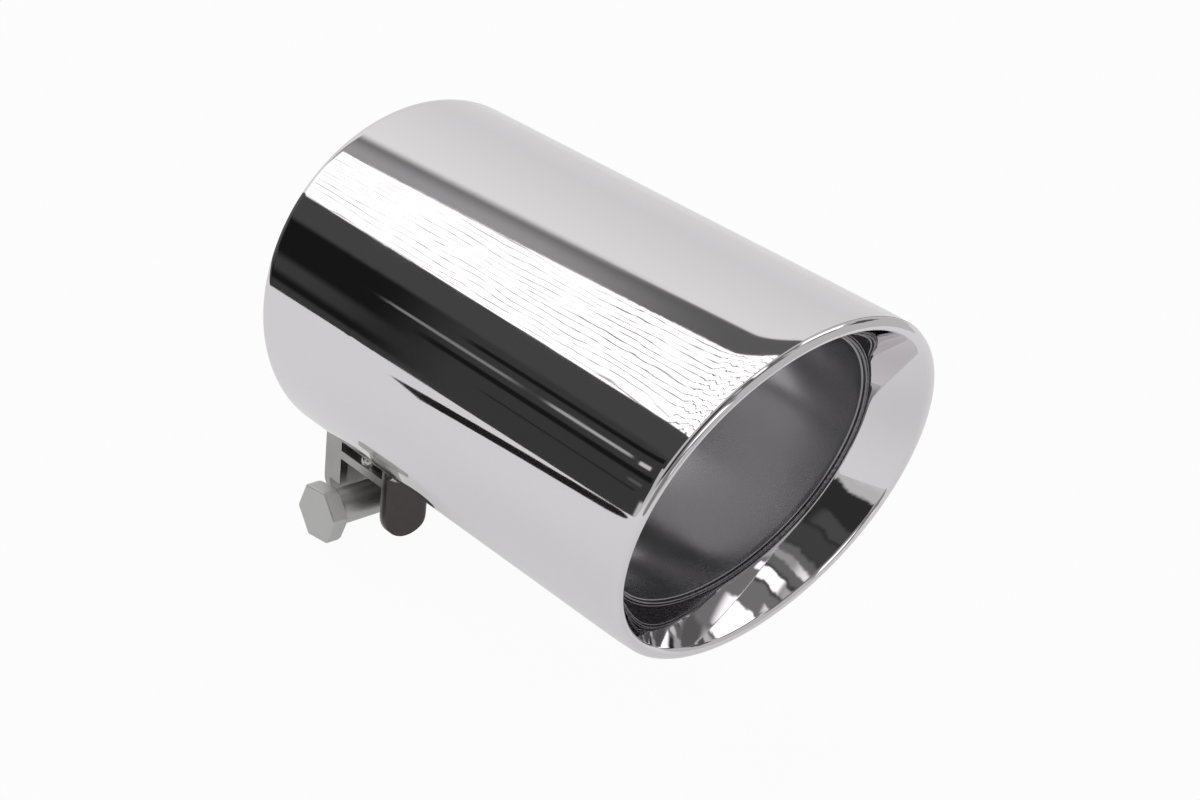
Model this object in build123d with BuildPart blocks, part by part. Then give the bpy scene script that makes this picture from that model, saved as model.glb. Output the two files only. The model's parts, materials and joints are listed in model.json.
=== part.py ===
from build123d import *
import math
import os

# Clamp-on exhaust tip in polished stainless sheet, in millimetres.
# The tube lies along Y: its inlet is open towards +Y and its slant-cut outlet faces -Y.
# +Z is up, the clamp hangs below the tube, and the clamp bolt lies along X with its head at -X.
# The origin is the centre of the inlet mouth.

# Outer shell: length along its longest side, and the slant of its outlet in degrees
shell_od = 80.0
shell_wall = 1.5
top_length = 124.0
slant_angle = 13.2

# Inlet socket, sized a little wider than the tube's bore, as deep as the tail pipe goes in
inlet_depth = 46.0
inlet_sizing = 0.5

# Rolled lip, the bevel that it turns into, and the collar behind the bevel
lip_radius = 1.4
bevel_depth = 12.6
bevel_fall = 2.65
bevel_wall = 1.0
collar_length = 7.0

# Inner sleeve, held in the collar at its front
sleeve_wall = 1.2
sleeve_gap = 0.15
sleeve_setback = 2.4
sleeve_edge_radius = 0.5

# Weld seam in the corner between the collar and the sleeve's front edge
seam_radius = 0.7
seam_touch = 0.04
seam_sides = 8

# Centring ring, a channel pressed between the sleeve's rear end and the shell
ring_wall = 1.2
ring_length = 9.0
ring_bend = 1.8
press_clearance = 0.1

# Slit that lets the inlet end close on the tail pipe, with a round stop hole
slit_width = 4.0
slit_length = 38.0
slit_stop_diameter = 9.0

# Clamp lugs, pressed boxes open away from the slit, one each side of it
lug_sheet = 2.0
lug_spacing = 16.8
lug_depth = 12.8
lug_width = 23.0
lug_overhang = 0.8
cheek_drop = 12.1
web_drop = 15.5
roof_rise = 2.9
return_flange = 5.8
lug_bend = 2.6
lug_seat_gap = 0.05

# Lug welds: a bead along the front cheek, one along the web, and tacks on the roof
bead_radius = 1.3
bead_inset = 0.5
tack_radius = 1.9
tack_inset = 3.8
tack_pitch = 10.0
tack_count = 2

# Clamp bolt, fitted loosely, with its washer and nut on the far side
bolt_diameter = 8.0
bolt_length = 55.0
bolt_drop = 6.8
bolt_shift = -0.8
bolt_standoff = 17.8
bolt_point = 1.0
bolt_hole_clearance = 0.4
head_across_flats = 12.0
head_height = 3.8
head_edge_radius = 0.4
head_turn = -8.0
washer_diameter = 15.0
washer_thickness = 1.6
washer_clearance = 0.2
nut_across_flats = 13.0
nut_height = 6.5
nut_clearance = 0.08
nut_turn = 0.0
corner_slope = 30.0
stack_gap = 0.03

# Worked-out sizes
shell_radius = shell_od / 2
bore_radius = shell_radius - shell_wall
inlet_radius = bore_radius + inlet_sizing
slant = math.tan(math.radians(slant_angle))
rim_stretch = math.sqrt(1 + slant**2)
outlet_direction = Axis((0, 0, 0), (0, -1, -slant))
axis_length = top_length - slant * shell_radius
bevel_mouth = shell_radius - 2 * lip_radius
bevel_foot = bevel_mouth - bevel_fall
sleeve_radius = bevel_foot - sleeve_gap
sleeve_front = bevel_depth + sleeve_setback
beyond = shell_od

lug_inner_x = lug_spacing / 2
lug_outer_x = lug_inner_x + lug_depth
web_face_x = lug_inner_x + lug_sheet
lug_rear_y = lug_overhang
lug_front_y = lug_rear_y - lug_width
lug_middle_y = lug_rear_y - lug_width / 2
roof_z = roof_rise - shell_radius
cheek_round = lug_depth / 2
cheek_centre_z = cheek_round - shell_radius - cheek_drop
bolt_radius = bolt_diameter / 2
bolt_y = lug_middle_y + bolt_shift
bolt_z = -shell_radius - bolt_drop
web_round = web_drop - bolt_drop
under_head_x = -web_face_x - bolt_standoff
washer_x = web_face_x + stack_gap
nut_x = washer_x + washer_thickness + stack_gap


def slant_plane(depth):
    """Plane parallel to the outlet's rim, the given distance behind the lip along the tube."""
    return Plane(origin=(0, depth - axis_length, 0), x_dir=(1, 0, 0), z_dir=(0, -1, -slant))


def cross_plane(y):
    """Plane square to the tube at the given place along it, facing the outlet."""
    return Plane.XZ.offset(-y)


def hexagon_nut(x, across_flats, height, turn, bore):
    """Hexagon nut along the bolt's axis from x, with the corners of both ends taken off."""
    corner = across_flats / math.sqrt(3)
    flat = across_flats / 2
    slope = (corner - flat) * math.tan(math.radians(corner_slope))
    with BuildPart() as piece:
        with BuildSketch(Plane.YZ.offset(x)):
            RegularPolygon(corner, 6, rotation=turn)
        extrude(amount=height)
        with BuildSketch(Plane.XZ):
            with BuildLine():
                Polyline(
                    (x, 0),
                    (x, flat),
                    (x + slope, corner),
                    (x + height - slope, corner),
                    (x + height, flat),
                    (x + height, 0),
                    close=True,
                )
            make_face()
        revolve(axis=Axis.X, mode=Mode.INTERSECT)
        with BuildSketch(Plane.YZ.offset(x)):
            Circle(bore)
        extrude(amount=height, mode=Mode.SUBTRACT)
    return piece.part.moved(Location((0, bolt_y, bolt_z)))


# Back of the bevel and its collar, as the plug that the shell's hollow is cut around
with BuildPart() as bevel_back:
    with BuildSketch(slant_plane(0)):
        Ellipse(bevel_mouth + bevel_wall, (bevel_mouth + bevel_wall) * rim_stretch)
    with BuildSketch(slant_plane(bevel_depth)):
        Ellipse(bevel_foot + bevel_wall, (bevel_foot + bevel_wall) * rim_stretch)
    loft()
    with BuildSketch(cross_plane(bevel_depth + collar_length - axis_length + beyond)):
        Circle(bevel_foot + bevel_wall)
    extrude(amount=beyond + collar_length + bevel_depth)
    split(bisect_by=slant_plane(bevel_depth + collar_length), keep=Keep.TOP)
    split(bisect_by=slant_plane(0), keep=Keep.BOTTOM)

# Hollow of the shell, from the inlet mouth to the fold behind the lip
with BuildPart() as shell_hollow:
    with BuildSketch(cross_plane(beyond)):
        Circle(bore_radius)
    extrude(amount=top_length + 2 * beyond)
    split(bisect_by=slant_plane(lip_radius), keep=Keep.BOTTOM)
    add(bevel_back.part, mode=Mode.SUBTRACT)

# Opening of the outlet: the flare of the bevel, then the round bore of the collar
with BuildPart() as outlet_opening:
    with BuildSketch(slant_plane(0)):
        Ellipse(bevel_mouth, bevel_mouth * rim_stretch)
    with BuildSketch(slant_plane(bevel_depth)):
        Ellipse(bevel_foot, bevel_foot * rim_stretch)
    loft()
    with BuildSketch(cross_plane(bevel_depth - axis_length + beyond)):
        Circle(bevel_foot)
    extrude(amount=2 * beyond)
    split(bisect_by=slant_plane(0), keep=Keep.BOTTOM)

# Outer shell: tube, rolled lip, bevel and collar, all one sheet, slit under its sized inlet
with BuildPart() as outer_shell:
    with BuildSketch(Plane.XZ):
        Circle(shell_radius)
    extrude(amount=top_length + beyond)
    split(bisect_by=slant_plane(0), keep=Keep.BOTTOM)
    add(shell_hollow.part, mode=Mode.SUBTRACT)
    add(outlet_opening.part, mode=Mode.SUBTRACT)
    rim_land = outer_shell.faces().sort_by(outlet_direction)[-1]
    fillet(rim_land.edges(), lip_radius)
    with BuildSketch(cross_plane(beyond)):
        Circle(inlet_radius)
    extrude(amount=beyond + inlet_depth, mode=Mode.SUBTRACT)
    with BuildSketch(Plane.XY.offset(-shell_radius)):
        with Locations((0, (slit_stop_diameter - slit_length) / 2)):
            Rectangle(slit_width, slit_length - slit_stop_diameter)
        with Locations((0, slit_stop_diameter / 2 - slit_length)):
            Circle(slit_stop_diameter / 2)
            Rectangle(slit_width, slit_stop_diameter, align=(Align.CENTER, Align.MIN))
    extrude(amount=shell_radius, mode=Mode.SUBTRACT)

# Inner sleeve: slant-cut in front with a rounded edge, square at the rear
with BuildPart() as inner_sleeve:
    with BuildSketch(cross_plane(-inlet_depth)):
        Circle(sleeve_radius)
        Circle(sleeve_radius - sleeve_wall, mode=Mode.SUBTRACT)
    extrude(amount=top_length)
    split(bisect_by=slant_plane(sleeve_front), keep=Keep.BOTTOM)
    front_edge = inner_sleeve.faces().sort_by(outlet_direction)[-1]
    fillet(front_edge.edges(), sleeve_edge_radius)

# Weld seam all round the corner where the sleeve's front edge sits in the collar
seam_circle = bevel_foot - seam_radius - seam_touch
seam_depth = sleeve_front - seam_radius - seam_touch
with BuildPart() as seam_weld:
    with BuildLine(slant_plane(seam_depth)) as seam_path:
        EllipticalCenterArc((0, 0), seam_circle, seam_circle * rim_stretch, 0, arc_size=360)
    with BuildSketch(Plane(origin=seam_path.line @ 0, z_dir=seam_path.line % 0)):
        RegularPolygon(seam_radius, seam_sides)
    sweep()

# Centring ring: a channel open towards the outlet, pressed between sleeve and shell
ring_inner = sleeve_radius + press_clearance
ring_outer = bore_radius - press_clearance
ring_middle = (ring_inner + ring_outer) / 2
with BuildPart() as centring_ring:
    with BuildSketch() as ring_section:
        with Locations((ring_middle, -inlet_depth)):
            Rectangle(ring_outer - ring_inner, ring_length, align=(Align.CENTER, Align.MAX))
        fillet(ring_section.vertices().group_by(Axis.Y)[-1], ring_bend)
        with Locations((ring_middle, -inlet_depth - ring_wall)):
            Rectangle(
                ring_outer - ring_inner - 2 * ring_wall,
                ring_length,
                align=(Align.CENTER, Align.MAX),
                mode=Mode.SUBTRACT,
            )
    revolve(axis=Axis.Y)

# Far clamp lug: web with the bolt hole, two cheeks, a roof under the shell, a turned-in flange
with BuildPart() as far_clamp_lug:
    with BuildSketch(Plane.YZ.offset(lug_inner_x)):
        with Locations((lug_middle_y, 0)):
            Rectangle(lug_width, -cheek_centre_z, align=(Align.CENTER, Align.MAX))
        with Locations((bolt_y, bolt_z)):
            Circle(web_round)
        make_hull()
    extrude(amount=lug_sheet)
    for cheek_y in (lug_rear_y, lug_front_y + lug_sheet):
        with BuildSketch(cross_plane(cheek_y)):
            with Locations((lug_inner_x, 0)):
                Rectangle(lug_depth, -cheek_centre_z, align=(Align.MIN, Align.MAX))
            with Locations((lug_inner_x + cheek_round, cheek_centre_z)):
                Circle(cheek_round)
        extrude(amount=lug_sheet)
    with BuildSketch(Plane.XY.offset(roof_z)):
        with Locations((lug_inner_x, lug_middle_y)):
            Rectangle(lug_depth, lug_width, align=(Align.MIN, Align.CENTER))
    extrude(amount=-lug_sheet)
    with BuildSketch(Plane.YZ.offset(lug_outer_x)):
        with Locations((lug_rear_y, 0)):
            Rectangle(return_flange, -cheek_centre_z, align=(Align.MAX, Align.MAX))
    extrude(amount=-lug_sheet)
    bends = far_clamp_lug.edges().filter_by(Axis.Z).group_by(Axis.X)[0]
    fillet(bends, lug_bend)
    with BuildSketch(cross_plane(beyond)):
        Circle(shell_radius + lug_seat_gap)
    extrude(amount=2 * beyond, mode=Mode.SUBTRACT)
    with BuildSketch(Plane.YZ):
        with Locations((bolt_y, bolt_z)):
            Circle(bolt_radius + bolt_hole_clearance)
    extrude(amount=web_face_x, mode=Mode.SUBTRACT)

# Near clamp lug, the same pressing turned to the bolt's head
with BuildPart() as near_clamp_lug:
    mirror(far_clamp_lug.part, about=Plane.YZ)

# Welds of the far lug: a bead round the shell at the front cheek, a bead along the web,
# and two tacks that bridge the wedge between the roof and the shell
bead_reach = shell_radius + bead_inset
bead_start = math.asin(lug_inner_x / bead_reach)
bead_arc = math.degrees(math.asin(lug_outer_x / bead_reach) - bead_start)
web_bead_x = lug_inner_x - bead_inset
web_bead_z = -math.sqrt(bead_reach**2 - web_bead_x**2)
tack_x = lug_outer_x - tack_radius
tack_z = roof_z + tack_radius / 2
bead_plane = Plane(
    origin=(0, 0, 0),
    x_dir=(0, 1, 0),
    z_dir=(-math.cos(bead_start), 0, -math.sin(bead_start)),
)
with BuildPart() as far_lug_weld:
    with BuildSketch(bead_plane):
        with Locations((lug_front_y - bead_inset, bead_reach)):
            Circle(bead_radius)
    revolve(axis=Axis((0, 0, 0), (0, -1, 0)), revolution_arc=bead_arc)
    with BuildSketch(cross_plane(-bead_radius)):
        with Locations((web_bead_x, web_bead_z)):
            Circle(bead_radius)
    extrude(amount=-lug_front_y - bead_radius)
    for tack in range(tack_count):
        with Locations((tack_x, lug_rear_y - tack_inset - tack * tack_pitch, tack_z)):
            Sphere(tack_radius)
    with BuildSketch(cross_plane(beyond)):
        Circle(shell_radius + lug_seat_gap)
    extrude(amount=2 * beyond, mode=Mode.SUBTRACT)
    add(far_clamp_lug.part, mode=Mode.SUBTRACT)

# Welds of the near lug, mirrored with it
with BuildPart() as near_lug_weld:
    mirror(far_lug_weld.part, about=Plane.YZ)

# Clamp bolt: hexagon head with softened edges, plain shank and a chamfered point
with BuildPart() as clamp_bolt:
    with BuildSketch(Plane.YZ.offset(under_head_x)):
        with Locations((bolt_y, bolt_z)):
            RegularPolygon(head_across_flats / math.sqrt(3), 6, rotation=head_turn)
    extrude(amount=-head_height)
    head_face = clamp_bolt.faces().sort_by(Axis.X)[0]
    fillet(head_face.edges(), head_edge_radius)
    with BuildSketch(Plane.YZ.offset(under_head_x)):
        with Locations((bolt_y, bolt_z)):
            Circle(bolt_radius)
    extrude(amount=bolt_length)
    bolt_end = clamp_bolt.faces().sort_by(Axis.X)[-1]
    chamfer(bolt_end.edges(), bolt_point)

# Washer against the far lug's web
with BuildPart() as nut_washer:
    with BuildSketch(Plane.YZ.offset(washer_x)):
        with Locations((bolt_y, bolt_z)):
            Circle(washer_diameter / 2)
            Circle(bolt_radius + washer_clearance, mode=Mode.SUBTRACT)
    extrude(amount=washer_thickness)

# Nut, between the far lug's cheeks
with BuildPart() as clamp_nut:
    add(hexagon_nut(nut_x, nut_across_flats, nut_height, nut_turn, bolt_radius + nut_clearance))

pieces = {
    "outer_shell": outer_shell,
    "inner_sleeve": inner_sleeve,
    "seam_weld": seam_weld,
    "centring_ring": centring_ring,
    "near_clamp_lug": near_clamp_lug,
    "far_clamp_lug": far_clamp_lug,
    "near_lug_weld": near_lug_weld,
    "far_lug_weld": far_lug_weld,
    "clamp_bolt": clamp_bolt,
    "nut_washer": nut_washer,
    "clamp_nut": clamp_nut,
}
os.makedirs("parts", exist_ok=True)
for name, piece in pieces.items():
    piece.part.label = name
    export_step(piece.part, f"parts/{name}.step")
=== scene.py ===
"""Looks of a slant-cut, clamp-on exhaust tip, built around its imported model, with a plain studio."""

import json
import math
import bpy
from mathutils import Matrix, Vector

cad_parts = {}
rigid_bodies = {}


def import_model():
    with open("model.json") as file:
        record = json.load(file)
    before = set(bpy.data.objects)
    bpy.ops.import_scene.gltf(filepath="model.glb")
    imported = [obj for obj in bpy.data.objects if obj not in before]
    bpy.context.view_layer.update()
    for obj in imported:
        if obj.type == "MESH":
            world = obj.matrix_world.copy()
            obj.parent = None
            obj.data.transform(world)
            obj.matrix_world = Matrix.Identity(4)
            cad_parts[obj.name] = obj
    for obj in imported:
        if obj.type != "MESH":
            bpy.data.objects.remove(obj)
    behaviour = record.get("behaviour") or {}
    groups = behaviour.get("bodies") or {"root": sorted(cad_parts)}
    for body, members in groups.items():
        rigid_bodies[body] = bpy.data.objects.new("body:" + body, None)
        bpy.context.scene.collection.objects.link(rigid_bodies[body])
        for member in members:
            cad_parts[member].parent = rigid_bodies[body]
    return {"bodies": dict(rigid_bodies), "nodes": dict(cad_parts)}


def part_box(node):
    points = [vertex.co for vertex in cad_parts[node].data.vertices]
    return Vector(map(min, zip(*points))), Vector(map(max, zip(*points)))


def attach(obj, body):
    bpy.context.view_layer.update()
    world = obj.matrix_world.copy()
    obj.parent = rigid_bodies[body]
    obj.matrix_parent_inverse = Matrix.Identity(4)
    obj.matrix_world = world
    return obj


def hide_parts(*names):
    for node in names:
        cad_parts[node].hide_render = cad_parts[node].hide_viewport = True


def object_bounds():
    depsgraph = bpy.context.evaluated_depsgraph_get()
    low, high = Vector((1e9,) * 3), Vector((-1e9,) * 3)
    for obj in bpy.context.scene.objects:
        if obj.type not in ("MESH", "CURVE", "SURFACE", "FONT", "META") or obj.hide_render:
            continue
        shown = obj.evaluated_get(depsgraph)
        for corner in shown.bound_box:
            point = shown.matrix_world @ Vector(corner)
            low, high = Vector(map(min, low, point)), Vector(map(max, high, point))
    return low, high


bl_info = {
    "name": "Exhaust Tip Looks",
    "version": (1, 0, 0),
    "blender": (4, 5, 0),
    "location": "View3D > Sidebar > Exhaust Tip",
    "description": "Polished shell, satin sleeve, welds, clamp fasteners and a soft studio",
    "category": "Object",
}

import bmesh
import bpy
import numpy as np
from mathutils import Matrix, Vector

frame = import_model()
cad_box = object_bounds()

MM = 0.001
shell_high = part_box("outer_shell")[1]
sleeve_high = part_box("inner_sleeve")[1]
bolt_low, bolt_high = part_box("clamp_bolt")
nut_low, nut_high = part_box("clamp_nut")
bolt_y = (nut_low[1] + nut_high[1]) / 2
bolt_z = (nut_low[2] + nut_high[2]) / 2


class TipSizes(bpy.types.PropertyGroup):
    """Sizes of the tube, its lip, bevel, sleeve and seam, in metres."""

    shell_radius: bpy.props.FloatProperty(
        name="Shell radius", description="Outside of the tube", default=shell_high[0],
        unit="LENGTH", precision=5,
    )
    bore_radius: bpy.props.FloatProperty(
        name="Bore radius", description="Inside of the tube behind the bevel",
        default=38.5 * MM, unit="LENGTH", precision=5,
    )
    inlet_radius: bpy.props.FloatProperty(
        name="Inlet radius", description="Sized inlet that takes the tail pipe",
        default=39.0 * MM, unit="LENGTH", precision=5,
    )
    inlet_depth: bpy.props.FloatProperty(
        name="Inlet depth", description="How far the sized inlet goes in",
        default=-sleeve_high[1], unit="LENGTH", precision=5,
    )
    top_length: bpy.props.FloatProperty(
        name="Top length", description="Length along the longest side, to the uncut corner",
        default=124.0 * MM, unit="LENGTH", precision=5,
    )
    slant_angle: bpy.props.FloatProperty(
        name="Slant", description="How far the outlet leans back from square",
        default=math.radians(13.2), subtype="ANGLE",
    )
    lip_radius: bpy.props.FloatProperty(
        name="Lip radius", description="Radius of the rolled lip", default=1.4 * MM,
        unit="LENGTH", precision=5,
    )
    lip_ease: bpy.props.FloatProperty(
        name="Lip ease", description="How far the tube draws in before its lip",
        default=0.2 * MM, unit="LENGTH", precision=5,
    )
    ease_length: bpy.props.FloatProperty(
        name="Ease length", description="Length over which the tube draws in",
        default=8.0 * MM, unit="LENGTH", precision=5,
    )
    bevel_depth: bpy.props.FloatProperty(
        name="Bevel depth", description="Lip to foot of the bevel, along the tube",
        default=10.5 * MM, unit="LENGTH", precision=5,
    )
    bevel_fall: bpy.props.FloatProperty(
        name="Bevel fall", description="Fall of the bevel in radius", default=4.6 * MM,
        unit="LENGTH", precision=5,
    )
    bevel_crown: bpy.props.FloatProperty(
        name="Bevel crown", description="Steeper at the lip, shallower at the foot, by this angle",
        default=math.radians(3.0), subtype="ANGLE",
    )
    foot_bend: bpy.props.FloatProperty(
        name="Foot bend", description="Bend of the sheet from the bevel to its collar",
        default=3.0 * MM, unit="LENGTH", precision=5,
    )
    bevel_wall: bpy.props.FloatProperty(
        name="Bevel wall", description="Sheet of the bevel and its collar", default=1.0 * MM,
        unit="LENGTH", precision=5,
    )
    collar_length: bpy.props.FloatProperty(
        name="Collar length", description="Round collar behind the bevel", default=7.0 * MM,
        unit="LENGTH", precision=5,
    )
    sleeve_wall: bpy.props.FloatProperty(
        name="Sleeve wall", description="Wall of the inner sleeve", default=0.9 * MM,
        unit="LENGTH", precision=5,
    )
    sleeve_gap: bpy.props.FloatProperty(
        name="Sleeve gap", description="Collar to the sleeve's front end", default=0.15 * MM,
        unit="LENGTH", precision=5,
    )
    sleeve_setback: bpy.props.FloatProperty(
        name="Sleeve setback", description="Sleeve's edge behind the foot of the bevel",
        default=0.9 * MM, unit="LENGTH", precision=5,
    )
    sleeve_edge_radius: bpy.props.FloatProperty(
        name="Sleeve edge radius", description="Rounding of the sleeve's front edge",
        default=0.4 * MM, unit="LENGTH", precision=5,
    )
    seam_radius: bpy.props.FloatProperty(
        name="Seam radius", description="Bead of the weld seam in front of the sleeve",
        default=0.32 * MM, unit="LENGTH", precision=5,
    )
    seam_clearance: bpy.props.FloatProperty(
        name="Seam clearance", description="Seam's bead to the collar and the sleeve's edge",
        default=0.03 * MM, unit="LENGTH", precision=5,
    )
    slit_half_width: bpy.props.FloatProperty(
        name="Slit half width", description="Half the width of the clamp slit",
        default=2.0 * MM, unit="LENGTH", precision=5,
    )
    slit_length: bpy.props.FloatProperty(
        name="Slit length", description="Inlet mouth to the end of the stop hole",
        default=38.0 * MM, unit="LENGTH", precision=5,
    )
    slit_stop_radius: bpy.props.FloatProperty(
        name="Stop hole radius", description="Round hole at the slit's end",
        default=4.5 * MM, unit="LENGTH", precision=5,
    )
    edge_round: bpy.props.FloatProperty(
        name="Edge round", description="Deburred edges of the cut sheet", default=0.15 * MM,
        unit="LENGTH", precision=5,
    )


class ClampSizes(bpy.types.PropertyGroup):
    """Sizes of the clamp's fasteners, in metres."""

    shank_radius: bpy.props.FloatProperty(
        name="Shank radius", description="Bolt shank and thread crests", default=4.0 * MM,
        unit="LENGTH", precision=5,
    )
    head_across_flats: bpy.props.FloatProperty(
        name="Head across flats", description="Bolt head between two flats",
        default=12.0 * MM, unit="LENGTH", precision=5,
    )
    head_height: bpy.props.FloatProperty(
        name="Head height", description="Bolt head along the bolt", default=3.8 * MM,
        unit="LENGTH", precision=5,
    )
    head_edge_radius: bpy.props.FloatProperty(
        name="Head edge radius", description="Softened edge of the head's face",
        default=0.4 * MM, unit="LENGTH", precision=5,
    )
    head_turn: bpy.props.FloatProperty(
        name="Head turn", description="Turn of the head's first corner about the bolt",
        default=math.radians(-8.0), subtype="ANGLE",
    )
    thread_pitch: bpy.props.FloatProperty(
        name="Thread pitch", description="Crest to crest", default=1.25 * MM,
        unit="LENGTH", precision=5,
    )
    thread_depth: bpy.props.FloatProperty(
        name="Thread depth", description="Crest to root", default=0.7 * MM,
        unit="LENGTH", precision=5,
    )
    thread_length: bpy.props.FloatProperty(
        name="Thread length", description="Threaded end of the shank", default=22.0 * MM,
        unit="LENGTH", precision=5,
    )


class FinishColours(bpy.types.PropertyGroup):
    """Colours of the finishes, as sRGB hex."""

    polished: bpy.props.StringProperty(
        name="Polished stainless", description="Mirror-buffed sheet", default="E8E5E7"
    )
    satin: bpy.props.StringProperty(
        name="Satin stainless", description="Drawn and brushed tube", default="9D9C9E"
    )
    mill: bpy.props.StringProperty(
        name="Mill stainless", description="Pressed sheet as rolled", default="B0AEAD"
    )
    weld: bpy.props.StringProperty(
        name="Weld metal", description="Cooled weld beads", default="C8C6C4"
    )
    # Darker than the weld beads: painted shade of the corner behind the bevel
    seam: bpy.props.StringProperty(
        name="Seam metal", description="Fused seam behind the bevel", default="807F80"
    )
    zinc: bpy.props.StringProperty(
        name="Zinc plating", description="Bolt, nut and washer", default="D4D3D1"
    )
    # Darker grey of the cheek's face beside its weld bead: painted shade, not a colour of the metal
    cheek_painted_shade: bpy.props.StringProperty(
        name="Painted cheek shade", description="Cheek beside its weld bead", default="55514F"
    )


class StudioSettings(bpy.types.PropertyGroup):
    """Camera, paper and dark strip of the studio."""

    camera_place: bpy.props.FloatVectorProperty(
        name="Camera place", description="Where the camera stands",
        default=(-0.2727, -0.3413, 0.1967), subtype="TRANSLATION",
    )
    camera_aim: bpy.props.FloatVectorProperty(
        name="Camera aim", description="Point in the middle of the picture",
        default=(0.00133, -0.06168, -0.00420), subtype="TRANSLATION",
    )
    camera_lean: bpy.props.FloatProperty(
        name="Camera lean", description="Roll of the camera to the left",
        default=math.radians(6.78), subtype="ANGLE",
    )
    lens_mm: bpy.props.FloatProperty(
        name="Lens", description="Focal length on a 36 mm wide sensor", default=64.36
    )
    paper_left: bpy.props.FloatProperty(
        name="Paper's left edge", description="Where the white paper ends beside the tip",
        default=-0.182, unit="LENGTH",
    )
    paper_front: bpy.props.FloatProperty(
        name="Paper's front edge", description="Where the paper ends in front of the outlet",
        default=-0.195, unit="LENGTH",
    )
    paper_reach: bpy.props.FloatProperty(
        name="Paper's reach", description="How far the paper runs the other ways",
        default=2.5, unit="LENGTH",
    )
    paper_colour: bpy.props.StringProperty(
        name="Paper", description="White paper under the tip", default="F2F2F3"
    )
    strip_colour: bpy.props.StringProperty(
        name="Strip", description="Dark strip on the paper", default="2E2C2D"
    )


def linear(colour):
    """sRGB hex to linear red, green, blue and alpha."""
    parts = [int(colour[i:i + 2], 16) / 255 for i in (0, 2, 4)]
    return tuple(p / 12.92 if p <= 0.04045 else ((p + 0.055) / 1.055) ** 2.4 for p in parts) + (1,)


def add_node(tree, kind, settings=None, inputs=None):
    """Adds a node with its settings; inputs are values, or sockets that get linked."""
    node = tree.nodes.new(kind)
    for name, value in (settings or {}).items():
        setattr(node, name, value)
    for name, value in (inputs or {}).items():
        if isinstance(value, bpy.types.NodeSocket):
            tree.links.new(value, node.inputs[name])
        else:
            node.inputs[name].default_value = value
    return node


def new_material(name):
    """Empty node material, its tree, object coordinates and output."""
    material = bpy.data.materials.new(name)
    material.use_nodes = True
    tree = material.node_tree
    tree.nodes.clear()
    coordinates = add_node(tree, "ShaderNodeTexCoord").outputs["Object"]
    output = add_node(tree, "ShaderNodeOutputMaterial")
    return material, tree, coordinates, output


def finish_metal(tree, output, colour, gloss, gloss_span, roughness, relief, bump, metallic=1.0):
    """Metal whose roughness follows one noise, over that span of it, between two values, and
    whose surface is raised by another noise with a strength and a height in metres."""
    dullness = add_node(tree, "ShaderNodeMapRange", inputs={
        "Value": gloss.outputs["Fac"], "From Min": gloss_span[0], "From Max": gloss_span[1],
        "To Min": roughness[0], "To Max": roughness[1]})
    raised = add_node(tree, "ShaderNodeBump", inputs={
        "Height": relief.outputs["Fac"], "Strength": bump[0], "Distance": bump[1]})
    shader = add_node(tree, "ShaderNodeBsdfPrincipled", inputs={
        "Base Color": colour, "Metallic": metallic,
        "Roughness": dullness.outputs[0], "Normal": raised.outputs[0]})
    tree.links.new(shader.outputs[0], output.inputs["Surface"])


def polished_stainless(colours):
    """Stainless sheet, mirror-buffed lengthwise: a clear reflection, drawn out a little along
    the tube by fine polishing lines, with faint haze where the buffing left off."""
    material, tree, coordinates, output = new_material("polished_stainless_sheet")
    # Real polishing lines are under 0.05 mm wide: these are drawn coarser, so that they show
    line_width, line_length, haze_size = 0.7143 * MM, 22.22 * MM, 16.67 * MM
    lines = add_node(tree, "ShaderNodeMapping", inputs={
        "Vector": coordinates, "Scale": (1 / line_width, 1 / line_length, 1 / line_width)})
    grain = add_node(tree, "ShaderNodeTexNoise", inputs={
        "Vector": lines.outputs[0], "Scale": 1.0, "Detail": 3.0, "Roughness": 0.6})
    haze = add_node(tree, "ShaderNodeTexNoise", inputs={
        "Vector": coordinates, "Scale": 1 / haze_size, "Detail": 3.0})
    finish_metal(tree, output, linear(colours.polished), haze, (0.35, 0.7), (0.02, 0.055),
                 grain, (0.035, 0.02 * MM))
    return material


def satin_stainless(colours):
    """Drawn stainless tube, brushed round its bore: broad soft highlights with fine rings. Its
    scratches scatter a quarter of the light, so it never turns black in the bevel's mirror."""
    material, tree, coordinates, output = new_material("satin_stainless_tube")
    # Real brushing rings are under 0.05 mm wide: these are drawn coarser, so that they show
    ring_width, ring_length, cloud_size = 0.4 * MM, 25.0 * MM, 22.22 * MM
    rings = add_node(tree, "ShaderNodeMapping", inputs={
        "Vector": coordinates, "Scale": (1 / ring_length, 1 / ring_width, 1 / ring_length)})
    grain = add_node(tree, "ShaderNodeTexNoise", inputs={
        "Vector": rings.outputs[0], "Scale": 1.0, "Detail": 4.0, "Roughness": 0.65})
    cloud = add_node(tree, "ShaderNodeTexNoise", inputs={
        "Vector": coordinates, "Scale": 1 / cloud_size, "Detail": 4.0})
    finish_metal(tree, output, linear(colours.satin), cloud, (0.3, 0.7), (0.17, 0.27),
                 grain, (0.2, 0.03 * MM), metallic=0.75)
    return material


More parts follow.
